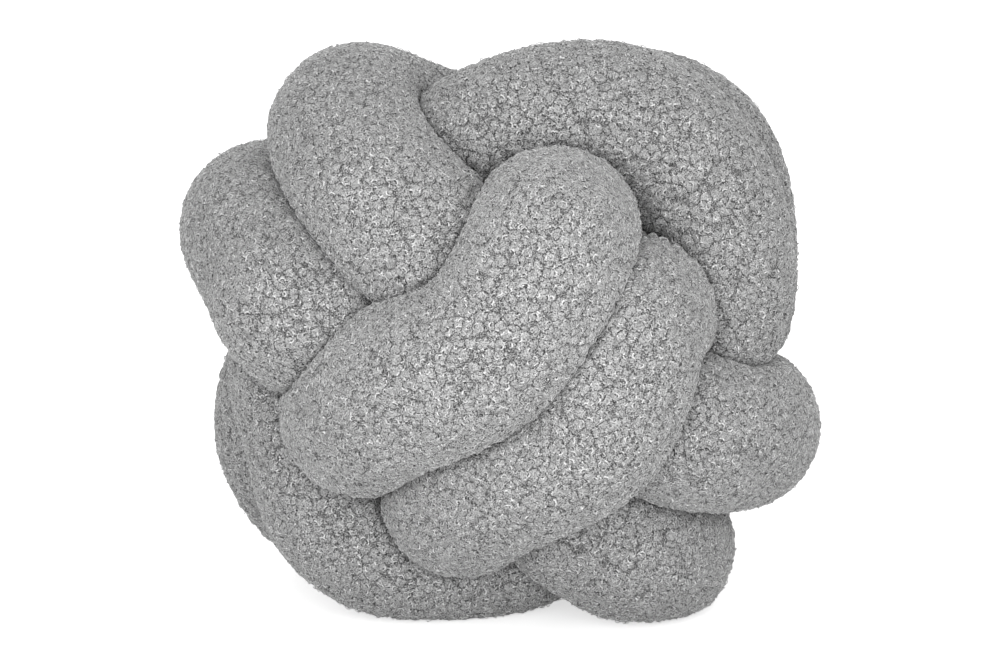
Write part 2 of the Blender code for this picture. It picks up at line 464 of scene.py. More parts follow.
def read_grid(grid, row, column):
    """Read a grid smoothly between its rows along the tube and its columns, which go round it."""
    rows, columns = grid.shape
    row = np.clip(row, 0.0, rows - 1.0)
    first_row, first_column = np.floor(row).astype(int), np.floor(column).astype(int)
    total = 0.0
    for step_r, share_r in enumerate(spline_shares(row - first_row)):
        at_row = np.clip(first_row + step_r - 1, 0, rows - 1)
        for step_c, share_c in enumerate(spline_shares(column - first_column)):
            total = total + share_r * share_c * grid[at_row, (first_column + step_c - 1) % columns]
    return total


@functools.lru_cache(maxsize=1)
def stuffed_tube(radius, meshing):
    """The tied tube up to its pile tips: middle line, axes across it, radii, and what sees the sky."""
    folds = [fold for turn in TURNS.values() for fold in turn]
    line = smooth_line(np.array([fold_point(fold) for fold in folds]), LINE_STEP)
    across, beside = cross_axes(line)
    length = lengths_along(line)[-1]

    rings = line[::RING_STRIDE]
    along = np.arange(len(line))[::RING_STRIDE] * length / (len(line) - 1)
    angles = np.tile(np.arange(ANGLES) * math.tau / ANGLES, (len(along), 1))
    outward = directions(across[::RING_STRIDE, None], beside[::RING_STRIDE, None], angles)
    limits = pressed_limits(rings, along, outward, radius, meshing)
    limits = np.minimum(limits, bend_limits(rings, outward))
    free = free_radii(along, length, radius)[:, None]
    fill = crease_fill(rings, outward, radius)
    fading = CREASE_REACH * fill / CREASE_FILL
    free = free + fill * np.exp(-np.clip(limits - free, 0.0, 1.0) / fading)
    limits = np.minimum(limits, floor_limits(rings, outward))
    radii = (limits**-PRESS_ROUNDING + free**-PRESS_ROUNDING)**(-1.0 / PRESS_ROUNDING)
    radii = np.minimum(soften(radii, 2), limits)

    corners = rings[:, None, :] + radii[:, :, None] * outward
    coarse = open_sky(corners[::SKY_STRIDE, ::SKY_STRIDE], outward[::SKY_STRIDE, ::SKY_STRIDE])
    rows, columns = np.indices(radii.shape) / SKY_STRIDE
    sky = np.clip(read_grid(soften(coarse, 1), rows, columns), 0.0, 1.0)
    return Tube(line, across, beside, length, math.tau * radius, radii, sky)


def place_on(tube, along):
    """Lengths along the tube, counted in points of its middle line."""
    return np.clip(along / tube.length, 0.0, 1.0) * (len(tube.line) - 1)


def read_round(tube, grid, along, angles):
    """One of the tube's grids, read at lengths along it and angles round it."""
    return read_grid(grid, place_on(tube, along) / RING_STRIDE, angles * ANGLES / math.tau)


def tube_points(tube, along, angles, radius_change):
    """Points of the tube's skin, and the way out of it, at lengths along it and angles round it."""
    place = place_on(tube, along)
    first = np.minimum(place.astype(int), len(tube.line) - 2)
    share = (place - first)[..., None]
    centre, across, beside = (values[first] * (1.0 - share) + values[first + 1] * share
                              for values in (tube.line, tube.across, tube.beside))
    outward = directions(across, beside, angles)
    points = centre + (read_round(tube, tube.radii, along, angles) + radius_change)[..., None] * outward
    points[..., 2] = np.maximum(points[..., 2], 0.0)
    return points, outward


def tube_sky(tube, along, angles):
    """Share of the sky that a place on the skin sees."""
    return np.clip(read_round(tube, tube.sky, along, angles), 0.0, 1.0)


def gather_depths(places):
    """How deep the gathers' folds are on the smooth skin: deepest a third of the way out."""
    way_to_deepest = 3.0
    depth = 0.0
    for gather in GATHERS:
        offset = places - fold_point(gather)
        distance = np.linalg.norm(offset, axis=-1) / gather.reach
        angle = np.arctan2(offset @ UP_LEFT, offset @ UP_RIGHT)
        ripple = 0.5 + 0.5 * np.cos(gather.folds * angle + gather.turn * math.tau)
        fade = np.clip(1.0 - distance, 0.0, 1.0) * np.clip(way_to_deepest * distance, 0.0, 1.0)
        depth = depth + gather.depth * ripple**2 * fade
    return depth


def stuffing_lumps(rng, tube, size, along, angles):
    """Smooth random values from -1 to 1 over the cloth: broad lumps, and finer ones on them."""
    broad_share, fine_share, fine_size = 0.65, 0.35, 0.4
    total = 0.0
    for share, width in ((broad_share, size), (fine_share, fine_size * size)):
        columns = max(3, int(round(tube.girth / width)))
        grid = share * rng.uniform(-1.0, 1.0, (int(tube.length / width) + 4, columns))
        total = total + read_grid(grid, along / width + 1.0, angles / math.tau * columns)
    return total


# ---------------------------------------------------------------- nodes

def feed(tree, socket, value):
    """Give a node's input its value: another node's output, or a plain value."""
    if isinstance(value, bpy.types.NodeSocket):
        tree.links.new(value, socket)
    else:
        socket.default_value = value


def add_node(tree, kind, inputs, **settings):
    """A node with these settings and inputs. An input is another node's output or a plain value."""
    node = tree.nodes.new(kind)
    for name, value in settings.items():
        setattr(node, name, value)
    for socket, value in inputs.items():
        feed(tree, node.inputs[socket], value)
    return node


def math_node(tree, operation, *values, clamp=False):
    """The output of a Math node."""
    node = add_node(tree, "ShaderNodeMath", dict(enumerate(values)), operation=operation, use_clamp=clamp)
    return node.outputs[0]


def vector_node(tree, operation, *values):
    """The output of a Vector Math node."""
    node = add_node(tree, "ShaderNodeVectorMath", dict(enumerate(values)), operation=operation)
    return node.outputs["Value" if operation in ("DOT_PRODUCT", "LENGTH") else "Vector"]


def mix_node(tree, share, first, second, kind="RGBA"):
    """The output of a Mix node, for colours or for plain values."""
    from_socket, to_socket, result = (6, 7, 2) if kind == "RGBA" else (2, 3, 0)
    inputs = {0: share, from_socket: first, to_socket: second}
    return add_node(tree, "ShaderNodeMix", inputs, data_type=kind).outputs[result]


def noise_node(tree, place, scale, detail, output="Fac"):
    """A smooth noise from 0 to 1."""
    inputs = {"Vector": place, "Scale": scale, "Detail": detail}
    return add_node(tree, "ShaderNodeTexNoise", inputs).outputs[output]


def ramp_node(tree, value, low, high):
    """A smooth rise from 0 at low to 1 at high."""
    inputs = {"Value": value, "From Min": low, "From Max": high}
    return add_node(tree, "ShaderNodeMapRange", inputs, interpolation_type="SMOOTHSTEP").outputs[0]


def colour_part(tree, colour, part):
    """One of a colour's three parts."""
    return add_node(tree, "ShaderNodeSeparateColor", {0: colour}).outputs[part]


# ---------------------------------------------------------------- clumps of pile

# What is known of the clump at a place, and how a mesh holds it
CLUMP_FACTS = (("border", "value"), ("off_middle", "value"), ("own_colour", "vector"), ("middle", "vector"))


def clump_pattern(tree, place, clumps_per_metre):
    """Nodes for ragged clumps, alike in a shader and in geometry nodes. Returns their outputs.

    The outputs are the distances to the clump's border and to its middle, both as shares of
    a clump's width, a colour of the clump's own, and its middle.
    """
    unevenness = 0.95
    for waves_per_metre, wander in ((260.0, 0.0024), (800.0, 0.0012)):
        sway = noise_node(tree, place, waves_per_metre, 1.0, "Color")
        place = vector_node(tree, "MULTIPLY_ADD", sway, (wander, wander, wander), place)
    inputs = {"Vector": place, "Scale": clumps_per_metre, "Randomness": unevenness}
    edge, nearest = (add_node(tree, "ShaderNodeTexVoronoi", inputs, feature=feature).outputs
                     for feature in ("DISTANCE_TO_EDGE", "F1"))
    return edge["Distance"], nearest["Distance"], nearest["Color"], nearest["Position"]


def clump_probe(clumps_per_metre):
    """Geometry nodes that write the clump pattern at each point of a mesh."""
    tree = bpy.data.node_groups.new("clump_probe", "GeometryNodeTree")
    for way in ("INPUT", "OUTPUT"):
        tree.interface.new_socket("Geometry", in_out=way, socket_type="NodeSocketGeometry")
    geometry = tree.nodes.new("NodeGroupInput").outputs[0]
    place = tree.nodes.new("GeometryNodeInputPosition").outputs[0]
    for (name, kind), value in zip(CLUMP_FACTS, clump_pattern(tree, place, clumps_per_metre)):
        store = add_node(tree, "GeometryNodeStoreNamedAttribute", {"Geometry": geometry, "Name": name},
                         data_type="FLOAT_VECTOR" if kind == "vector" else "FLOAT")
        tree.links.new(value, next(s for s in store.inputs if s.name == "Value" and s.enabled))
        geometry = store.outputs[0]
    tree.links.new(geometry, tree.nodes.new("NodeGroupOutput").inputs[0])
    return tree


def read_clumps(places, clumps_per_metre):
    """The clump pattern at places on the smooth skin: both distances, own colour, middle."""
    mesh = bpy.data.meshes.new("clump_probe")
    mesh.vertices.add(places.size // 3)
    mesh.vertices.foreach_set("co", places.astype(np.float32).ravel())
    probe = bpy.data.objects.new("clump_probe", mesh)
    bpy.context.scene.collection.objects.link(probe)
    nodes = clump_probe(clumps_per_metre)
    probe.modifiers.new("clump_probe", "NODES").node_group = nodes
    measured = probe.evaluated_get(bpy.context.evaluated_depsgraph_get()).data
    read = []
    for name, kind in CLUMP_FACTS:
        shape = places.shape if kind == "vector" else places.shape[:-1]
        values = np.zeros(math.prod(shape), np.float32)
        measured.attributes[name].data.foreach_get(kind, values)
        read.append(values.reshape(shape))
    bpy.data.objects.remove(probe)
    bpy.data.meshes.remove(mesh)
    bpy.data.node_groups.remove(nodes)
    return read


def cloth_tube(scene):
    """The tied tube, made the first time that it is asked for."""
    shape = scene.knot_cushion_shape
    return stuffed_tube(shape.tube_radius, shape.pile_meshing)


def pile_sinks(scene, tube, along, angles):
    """How far the pile's surface lies under the tube's smooth skin, and the places on that skin."""
    shape, pile = scene.knot_cushion_shape, scene.knot_cushion_pile
    rng = np.random.default_rng(pile.seed)
    lumps = stuffing_lumps(rng, tube, shape.lump_size, along, angles)
    places, _ = tube_points(tube, along, angles, 0.0)
    border, off_middle, own_colour, _ = read_clumps(places, 1.0 / pile.clump_size)
    rise = np.clip(border / GAP_SLOPE, 0.0, 1.0)
    crown = 1.0 - np.clip(off_middle / CROWN_REACH, 0.0, 1.0)**2
    own_height = 1.0 - HEIGHT_SPREAD + HEIGHT_SPREAD * own_colour[..., 0]
    height = own_height * ((1.0 - CROWN_SHARE) * rise * (2.0 - rise) + CROWN_SHARE * crown)
    shown = np.clip(tube_sky(tube, along, angles) * LUMP_GAIN - LUMP_LOSS, 0.0, 1.0)
    lump_sink = shape.lump_depth * (0.5 + 0.5 * lumps) * shown
    clump_sink = pile.clump_depth * (SKIN_HEIGHT - height)
    return lump_sink + clump_sink + gather_depths(places), places


# ---------------------------------------------------------------- meshes

def corner_shares(tube):
    """How many corners each part of the skin has, next to the part that shows best."""
    return np.clip(SHOWN_GAIN * tube.sky, HIDDEN_SHARE, 1.0)


def ring_places(tube, spacing):
    """Lengths along the tube of the mesh's rings: close together where cloth shows."""
    shown = corner_shares(tube).max(axis=1)
    shown = soften(np.repeat(shown[:, None], 3, axis=1), 4)[:, 0]
    along = np.linspace(0.0, tube.length, len(shown))
    count = np.concatenate([[0.0], np.cumsum((shown[1:] + shown[:-1]) / 2.0 * np.diff(along))]) / spacing
    return np.interp(np.linspace(0.0, count[-1], int(count[-1]) + 1), count, along)


def corner_angles(tube, along, spacing):
    """Angles of each ring's corners: close together on the side that shows."""
    shown = soften(corner_shares(tube), 4)
    corners = int(np.percentile(shown.mean(axis=1), FULL_RINGS) * tube.girth / spacing)
    fine = np.linspace(0.0, math.tau, ANGLES + 1)
    angles = np.zeros((len(along), corners))
    for i, row in enumerate(along / tube.length * (len(shown) - 1)):
        density = read_grid(shown, np.full(ANGLES + 1, row), fine * ANGLES / math.tau)
        share = np.concatenate([[0.0], np.cumsum((density[1:] + density[:-1]) / 2.0)])
        angles[i] = np.interp(np.arange(corners) / corners * share[-1], share, fine)
    return angles


def turn_ends(tube, along):
    """Numbers of the rings where one turn's mesh ends and the next begins, hidden in the knot."""
    window, pull = 0.05, 0.1
    ends = [0]
    shown = np.interp(along, np.linspace(0.0, tube.length, len(tube.sky)), tube.sky.max(axis=1))
    for turn in list(TURNS.values())[:-1]:
        nearest = np.linalg.norm(tube.line - fold_point(turn[-1]), axis=1).argmin()
        off = np.abs(along - nearest * tube.length / (len(tube.line) - 1))
        ends.append(int(np.where(off < window, shown + pull * off / window, np.inf).argmin()))
    return ends + [len(along) - 1]


def build_mesh(name, corners, walls, caps, flat):
    """A smooth mesh of four-sided walls with end faces after them, and the map for its finish."""
    loops = np.concatenate([walls.ravel(), caps.ravel()])
    cap_starts = walls.size + np.arange(len(caps)) * caps.shape[1]
    starts = np.concatenate([np.arange(len(walls)) * 4, cap_starts])
    mesh = bpy.data.meshes.new(name)
    mesh.vertices.add(corners.size // 3)
    mesh.vertices.foreach_set("co", corners.astype(np.float32).ravel())
    mesh.loops.add(len(loops))
    mesh.loops.foreach_set("vertex_index", loops.astype(np.int32))
    mesh.polygons.add(len(starts))
    mesh.polygons.foreach_set("loop_start", starts.astype(np.int32))
    mesh.update(calc_edges=True)
    mesh.shade_smooth()
    mesh.uv_layers.new(name="OFBake").data.foreach_set("uv", flat.astype(np.float32).ravel())
    return mesh


def cloth_map(count, sides, tips):
    """The cloth between its rings laid out flat in two strips, and each tip at the map's corner."""
    strips, margin = 2, 0.004
    row, column = np.indices((count - 1, sides))
    strip = np.minimum(row * strips // (count - 1), strips - 1)
    first_row, next_row = ((number * (count - 1) + strips - 1) // strips for number in (strip, strip + 1))
    u = np.stack([(row + step - first_row) / (next_row - first_row) for step in (0, 0, 1, 1)], axis=-1)
    v = np.stack([(column + step) / sides for step in (0, 1, 1, 0)], axis=-1)
    flat = np.stack([u, v], axis=-1) * (1.0 - 2.0 * margin) + margin
    flat[..., 1] = (strip[..., None] + flat[..., 1]) / strips
    return np.concatenate([flat.reshape(-1, 2), np.zeros((tips * sides, 2))])


def curl_map(count, points, sides):
    """The curls laid out flat in rows of small cells, with the ends of each in its cell's corner."""
    across, margin = int(math.ceil(math.sqrt(count))), 0.15
    _, part, side = np.indices((count, points - 1, sides))
    u = np.stack([side + step for step in (0, 1, 1, 0)], axis=-1) / sides
    v = np.stack([part + step for step in (0, 0, 1, 1)], axis=-1) / (points - 1)
    inset = np.stack([u, v], axis=-1) * (1.0 - 2.0 * margin) + margin
    row, column = np.divmod(np.arange(count), across)
    cells = np.stack([column, row], axis=-1)
    walls = (cells[:, None, None, None] + inset) / across
    end = np.array([[0.0, 0.0], [1.0, 0.0], [0.0, 1.0]]) * margin / 2.0
    caps = (np.tile(cells, (2, 1))[:, None] + end) / across
    return np.concatenate([walls.reshape(-1, 2), caps.reshape(-1, 2)])


def ring_mesh(name, rings, places, outward, sky, first, last):
    """A mesh between rings of corners, with a flat tip where the tube itself ends.

    Its corners carry their places on the smooth skin, the way out of it, and how much sky they see.
    """
    count, sides = rings.shape[:2]
    index = np.arange(count * sides).reshape(count, sides)
    tips = np.array([index[0, ::-1], index[-1]])[[first, last]]
    mesh = build_mesh(name, rings, walls_between(index), tips, cloth_map(count, sides, len(tips)))
    for carried, kind, values in (("skin_place", "vector", places), ("outward", "vector", outward),
                                  ("openness", "value", sky)):
        laid = mesh.attributes.new(carried, "FLOAT_VECTOR" if kind == "vector" else "FLOAT", "POINT")
        laid.data.foreach_set(kind, values.astype(np.float32).ravel())
    return mesh


def clump_middles(rng, scene, tube, count):
    """Middles and radii of the clumps that show, found from many places tried on the cloth."""
    same_place = 1e-5
    along = rng.uniform(0.0, tube.length, CURL_TRIES)
    angles = rng.uniform(0.0, math.tau, CURL_TRIES)
    places, _ = tube_points(tube, along, angles, 0.0)
    middle = read_clumps(places, 1.0 / scene.knot_cushion_pile.clump_size)[-1]
    _, clump, members = np.unique(np.round(middle / same_place).astype(np.int64), axis=0,
                                  return_inverse=True, return_counts=True)
    clump = clump.ravel()
    mean_along = np.bincount(clump, along) / members
    mean_angle = np.arctan2(np.bincount(clump, np.sin(angles)), np.bincount(clump, np.cos(angles))) % math.tau
    size = np.sqrt(members * tube.length * tube.girth / CURL_TRIES / math.pi)
    shown = np.clip(SHOWN_GAIN * tube_sky(tube, mean_along, mean_angle), 0.0, 1.0)
    order = np.argsort(-(size * shown * rng.uniform(*CURL_LUCK, len(size))))[:count]
    return mean_along[order], mean_angle[order], size[order]


def curl_paths(rng, scene, tube, middles):
    """Middle lines of the curls: each bends round a clump, rising out of the pile and going back in."""
    along, angle, size = (values[:, None] for values in middles)
    count = len(along)
    share = np.linspace(0.0, 1.0, CURL_POINTS)
    turn = rng.uniform(*CURL_TURN, count) * math.tau * rng.choice([-1.0, 1.0], count)
    start = rng.uniform(0.0, math.tau, count)
    phase = start[:, None] + turn[:, None] * share
    reach = size * rng.uniform(*CURL_REACH, count)[:, None] * (1.0 - CURL_CLOSING * share)
    along = along + reach * np.cos(phase)
    angles = (angle + reach * np.sin(phase) * math.tau / tube.girth) % math.tau
    sinks, _ = pile_sinks(scene, tube, along, angles)
    lift = rng.uniform(LOW_CURL, 1.0, count)[:, None]**2 * CURL_LIFT * np.sin(math.pi * share)
    paths, outward = tube_points(tube, along, angles, lift - sinks)
    paths[..., 2] = np.maximum(paths[..., 2], 2.0 * scene.knot_cushion_pile.fibre_radius)
    return paths, outward[:, CURL_POINTS // 2]


def curl_mesh(name, paths, normals, radius):
    """Thin three-sided locks of fibre along the curls' middle lines, tapered at both ends."""
    count, points = paths.shape[:2]
    sides = 3
    forward = unit(np.gradient(paths, axis=1))
    out = unit(normals[:, None, :] - forward * (forward * normals[:, None, :]).sum(axis=2, keepdims=True))
    side = np.cross(forward, out)
    taper = np.ones(points) * radius
    taper[[0, -1]] *= CURL_ENDS
    round_it = directions(out[:, :, None], side[:, :, None], np.arange(sides) * math.tau / sides)
    corners = paths[:, :, None, :] + taper[:, None, None] * round_it
    index = np.arange(count * points * sides).reshape(count, points, sides)
    caps = np.concatenate([index[:, 0, ::-1], index[:, -1]])
    return build_mesh(name, corners, walls_between(index), caps, curl_map(count, points, sides))


# ---------------------------------------------------------------- materials

# Kinds of socket, by how many numbers their value has, and what the pile's pattern puts out
SOCKET_KINDS = {1: "NodeSocketFloat", 3: "NodeSocketVector", 4: "NodeSocketColor"}
PATTERN = ("Strokes", "Fibre ends", "Cover", "Own tone", "Painted curl highlights", "Painted curl shade")


def new_group(name, inputs, outputs):
    """A shader node group whose sockets are given with their defaults, and its two ends' sockets."""
    group = bpy.data.node_groups.new(name, "ShaderNodeTree")
    for way, sockets in (("INPUT", inputs), ("OUTPUT", outputs)):
        for socket, default in sockets.items():
            kind = SOCKET_KINDS[np.size(default)]
            group.interface.new_socket(socket, in_out=way, socket_type=kind).default_value = default
    return group, group.nodes.new("NodeGroupInput").outputs, group.nodes.new("NodeGroupOutput").inputs


def painted_curl_arcs(tree, place, outward, size):
    """Short arcs, each bent round a point of its own: single curls of fibre seen from above.

    Returns a painted highlight arc and the painted shade arc that lies inside it, both from 0 to 1.
    """
    cells = add_node(tree, "ShaderNodeTexVoronoi", {"Vector": place, "Scale": 1.0 / size}).outputs
    offset = vector_node(tree, "SUBTRACT", place, cells["Position"])
    offset = vector_node(tree, "SUBTRACT", offset, vector_node(tree, "PROJECT", offset, outward))
    own_way = vector_node(tree, "SUBTRACT", cells["Color"], (0.5, 0.5, 0.5))
    facing = vector_node(tree, "DOT_PRODUCT", vector_node(tree, "NORMALIZE", offset),
                         vector_node(tree, "NORMALIZE", own_way))
    bent_part = ramp_node(tree, facing, low=0.05, high=0.6)
    least_radius, more_radius = 0.24 * size, 0.20 * size
    own_size = colour_part(tree, cells["Color"], "Blue")
    radius = math_node(tree, "MULTIPLY_ADD", own_size, more_radius, least_radius)
    off_line = math_node(tree, "SUBTRACT", vector_node(tree, "LENGTH", offset), radius)
    arcs = []
    # The first arc is a painted highlight along the curl, the second, further in, painted shade inside it
    for further_in, width in ((0.0, 0.00040), (0.00066, 0.00050)):
        from_arc = math_node(tree, "ABSOLUTE", math_node(tree, "ADD", off_line, further_in))
        arcs.append(math_node(tree, "MULTIPLY", ramp_node(tree, from_arc, width, 0.0), bent_part))
    return arcs


def fibre_strokes(tree, place):
    """Level lines of a noise, which swirl as short fibres do. They run from 0 to 1 across each lock."""
    swirls_per_metre, locks_per_swirl = 380.0, 2.8
    swirl = noise_node(tree, place, swirls_per_metre, 1.0)
    wave = math_node(tree, "SINE", math_node(tree, "MULTIPLY", swirl, locks_per_swirl * math.tau))
    return math_node(tree, "MULTIPLY_ADD", wave, 0.5, 0.5)


def curled_pile(name):
    """Pattern of curled pile: ragged clumps with gaps, strokes along the fibre, and single curls.

    Strokes run from 0 to 1 across each lock of fibre. Cover is 1 on the clumps and 0 deep
    between them; it shapes the bump, and the painted shade in the gaps. Painted curl highlights
    and painted curl shade are 1 on the line of a curl.
    """
    ends_per_metre, raggedness = 1800.0, 0.20
    openings_per_metre, narrow_gap, wider_gap = 600.0, 0.03, 0.075
    curl_width = 0.0038
    group, given, result = new_group(
        name, {"Place": (0.0, 0.0, 0.0), "Outward": (0.0, 0.0, 1.0), "Clumps per metre": 200.0},
        dict.fromkeys(PATTERN, 0.0))
    place = given["Place"]
    border, off_middle, own_colour, _ = clump_pattern(group, place, given["Clumps per metre"])
    strokes = fibre_strokes(group, place)
    fibre_ends = noise_node(group, place, ends_per_metre, 0.0)

    # Gaps are ragged, widest where three clumps meet, and closed in places
    fringe = math_node(group, "SUBTRACT", fibre_ends, 0.5)
    ragged = math_node(group, "MULTIPLY_ADD", fringe, raggedness, border)
    open_part = ramp_node(group, noise_node(group, place, openings_per_metre, 0.0), low=0.38, high=0.62)
    corner = ramp_node(group, off_middle, low=0.45, high=0.85)
    wide = math_node(group, "ADD", open_part, corner)
    width = math_node(group, "MULTIPLY_ADD", wide, wider_gap, narrow_gap)
    # Cover shapes the bump, and also where the pile's colour turns to painted shade in the gaps
    cover = math_node(group, "DIVIDE", ragged, width, clamp=True)

    own_tone = colour_part(group, own_colour, "Green")
    curls = painted_curl_arcs(group, place, given["Outward"], curl_width)
    for socket, value in zip(PATTERN, (strokes, fibre_ends, cover, own_tone, *curls)):
        group.links.new(value, result[socket])
    return group


def pile_tone(name):
    """Colour of the pile: painted shade in gaps and folds, painted highlights and shade on curls,
    uneven between clumps, light and dark along fibres.
    """
    curl_shade_weight, least_share = 0.55, 0.1
    own_tone_low, own_tone_spread = 0.97, 0.06
    group, given, result = new_group(
        name,
        {"Tip colour": (0.4, 0.4, 0.4, 1.0), "Gap shade colour": (0.1, 0.1, 0.1, 1.0), "Cover": 1.0,
         "Own tone": 0.5, "Openness": 1.0, "Fold shade": 0.3, "Strokes": 0.5, "Stroke contrast": 0.25,
         "Fibre ends": 0.5, "End contrast": 0.5, "Painted curl highlights": 0.0, "Painted curl shade": 0.0,
         "Curl contrast": 0.5},
        {"Colour": (0.0, 0.0, 0.0, 1.0)})
    # Painted shade: deep between the clumps the colour turns to the gap shade colour
    colour = mix_node(group, given["Cover"], given["Gap shade colour"], given["Tip colour"])
    # Painted highlights and painted shade of single curls, added to the pile's colour
    painted_curl_shade = math_node(group, "MULTIPLY", given["Painted curl shade"], curl_shade_weight)
    curls = math_node(group, "SUBTRACT", given["Painted curl highlights"], painted_curl_shade)
    # Painted shade: the colour is darkened where a corner sees little sky, in the folds and creases between
    # turns
    in_fold = ramp_node(group, given["Openness"], low=0.55, high=0.05)
    fold_shade = math_node(group, "MULTIPLY", in_fold, given["Fold shade"])
    share = math_node(group, "MULTIPLY_ADD", given["Own tone"], own_tone_spread, own_tone_low)
    share = math_node(group, "SUBTRACT", share, fold_shade)
    share = math_node(group, "MULTIPLY_ADD", curls, given["Curl contrast"], share)
    for value, contrast in (("Strokes", "Stroke contrast"), ("Fibre ends", "End contrast")):
        centred = math_node(group, "SUBTRACT", given[value], 0.5)
        share = math_node(group, "MULTIPLY_ADD", centred, given[contrast], share)
    inputs = {0: colour, "Scale": math_node(group, "MAXIMUM", share, least_share)}
    shaded = add_node(group, "ShaderNodeVectorMath", inputs, operation="SCALE")
    group.links.new(shaded.outputs[0], result["Colour"])
    return group


def place_group(tree, make, inputs):
    """The outputs of a shared node group, which is made the first time that it is asked for."""
    name = make.__name__.replace("_", " ")
    group = bpy.data.node_groups.get(name) or make(name)
    return add_node(tree, "ShaderNodeGroup", inputs, node_tree=group).outputs


def place_pile(tree, pile, place, outward, tip_colour, contrasts):
    """Put the pile's pattern and colour into a material, and link the colour. Returns the pattern."""
    pattern = place_group(tree, curled_pile, {
        "Place": place, "Outward": outward, "Clumps per metre": 1.0 / pile.clump_size})
    tone = place_group(tree, pile_tone, {
        "Tip colour": (*tip_colour, 1.0), "Gap shade colour": (*pile.gap_shade_colour, 1.0),
        **{name: pattern[name] for name in PATTERN}, **contrasts})
    tree.links.new(tone["Colour"], tree.nodes["Principled BSDF"].inputs["Base Color"])
    return pattern


def new_material(name, finish):
    """A material whose shader has this finish all over. Returns it, its nodes and its shader's inputs."""
    material = bpy.data.materials.new(name)
    material.use_nodes = True
    sockets = material.node_tree.nodes["Principled BSDF"].inputs
    for socket, value in finish.items():
        sockets[socket].default_value = value
    return material, material.node_tree, sockets


def mesh_value(tree, name, output):
    """A value or vector that the mesh's corners carry."""
    return add_node(tree, "ShaderNodeAttribute", {}, attribute_name=name).outputs[output]


def pile_material(pile):
    """Curled teddy pile: matt, with gaps between clumps, deep in relief and darker with painted shade,
    and swirls and curls of fibre with painted highlights and shade.
    """
    material, tree, shader = new_material("pile_cloth_curled", {
        "Roughness": 0.9, "Specular IOR Level": 0.2, "Sheen Weight": 1.0, "Sheen Roughness": 0.22})
    skin_place = mesh_value(tree, "skin_place", "Vector")
    outward = mesh_value(tree, "outward", "Vector")
    # The pile's colour carries painted shade in the gaps and in folds that see little sky, and painted
    # highlights and shade on single curls
    pattern = place_pile(tree, pile, skin_place, outward, pile.colour, {
        "Openness": mesh_value(tree, "openness", "Fac"), "Fold shade": 0.35,
        "Stroke contrast": 0.25, "End contrast": 2.3, "Curl contrast": 1.15})
    relief = math_node(tree, "ADD", pattern["Cover"], pattern["Strokes"])
    bump = add_node(tree, "ShaderNodeBump", {"Strength": 1.0, "Distance": 0.0003, "Height": relief})
    tree.links.new(bump.outputs["Normal"], shader["Normal"])
    return material


def curl_material(pile):
    """Single locks of the same fibre, which catch the light along their length: partly by their shine,
    and partly by a painted highlight, as their colour is the pile's made lighter.
    """
    material, tree, _ = new_material("pile_cloth_loose_fibre", {
        "Roughness": 0.75, "Specular IOR Level": 0.25, "Sheen Weight": 0.15, "Sheen Roughness": 0.5})
    place = tree.nodes.new("ShaderNodeTexCoord").outputs["Object"]
    # Painted highlight: the curls' colour is the pile's tip colour made 15% lighter, as if lit
    lighter = 1.15
    painted_lit_tip = tuple(min(1.0, lighter * part) for part in pile.colour)
    place_pile(tree, pile, place, (0.0, 0.0, 1.0), painted_lit_tip, {
        "Cover": 1.0, "Stroke contrast": 0.2, "End contrast": 0.6, "Curl contrast": 0.0})
    return material


# ---------------------------------------------------------------- operators

def place_piece(name, mesh, material):
    """Put a piece of the cushion into the scene, with its finish and what carries it."""
    mesh.materials.append(material)
    piece = bpy.data.objects.new(name, mesh)
    bpy.context.scene.collection.objects.link(piece)
    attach(piece, "root")
    return piece


class KNOT_OT_add_cloth(bpy.types.Operator):
    """Make the stuffed and tied tube of pile cloth, one mesh for each turn"""
    bl_idname = "knot_cushion.add_cloth"
    bl_label = "Add pile cloth"

    def execute(self, context):
        pile = context.scene.knot_cushion_pile
        tube = cloth_tube(context.scene)
        ring_along = ring_places(tube, pile.corner_spacing)
        angles = corner_angles(tube, ring_along, pile.corner_spacing)
        along = np.repeat(ring_along[:, None], angles.shape[1], axis=1)
        sinks, places = pile_sinks(context.scene, tube, along, angles)
        tips = np.random.default_rng(pile.seed + 2).uniform(-pile.tip_spread, pile.tip_spread, sinks.shape)
        rings, outward = tube_points(tube, along, angles, tips - sinks)
        sky = tube_sky(tube, along, angles)
        ends = turn_ends(tube, ring_along)
        material = pile_material(pile)
        for number, turn in enumerate(TURNS):
            part = slice(ends[number], ends[number + 1] + 1)
            name = "cloth_" + turn
            mesh = ring_mesh(name, rings[part], places[part], outward[part], sky[part],
                             number == 0, number == len(TURNS) - 1)
            piece = place_piece(name, mesh, material)
            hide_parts(CAD_NODE)
        return {"FINISHED"}


class KNOT_OT_add_curls(bpy.types.Operator):
    """Make the loose curls of fibre that stand out of the pile"""
    bl_idname = "knot_cushion.add_curls"
    bl_label = "Add loose curls"

    def execute(self, context):
        pile = context.scene.knot_cushion_pile
        tube = cloth_tube(context.scene)
        rng = np.random.default_rng(pile.seed + 1)
        middles = clump_middles(rng, context.scene, tube, pile.curl_count)
        paths, normals = curl_paths(rng, context.scene, tube, middles)
        along = middles[0]
        ends = np.linspace(0.0, tube.length, CURL_MESHES + 1)
        material = curl_material(pile)
        for number in range(CURL_MESHES):
            inside = (along >= ends[number]) & (along < ends[number + 1])
            name = f"loose_curls_{number + 1}"
            mesh = curl_mesh(name, paths[inside], normals[inside], pile.fibre_radius)
            place_piece(name, mesh, material)
        return {"FINISHED"}


class KNOT_OT_add_studio(bpy.types.Operator):
    """Make the plain floor, the soft lights and the camera"""
    bl_idname = "knot_cushion.add_studio"
    bl_label = "Add studio"

    def execute(self, context):
        studio = context.scene.knot_cushion_studio
        add_floor(studio)
        add_sky(studio)
        add_lights(studio)
        add_camera(studio)
        return {"FINISHED"}


def camera_sees(tree):
    """1 where the camera looks straight at a surface, and 0 where light goes round by it."""
    return tree.nodes.new("ShaderNodeLightPath").outputs["Is Camera Ray"]


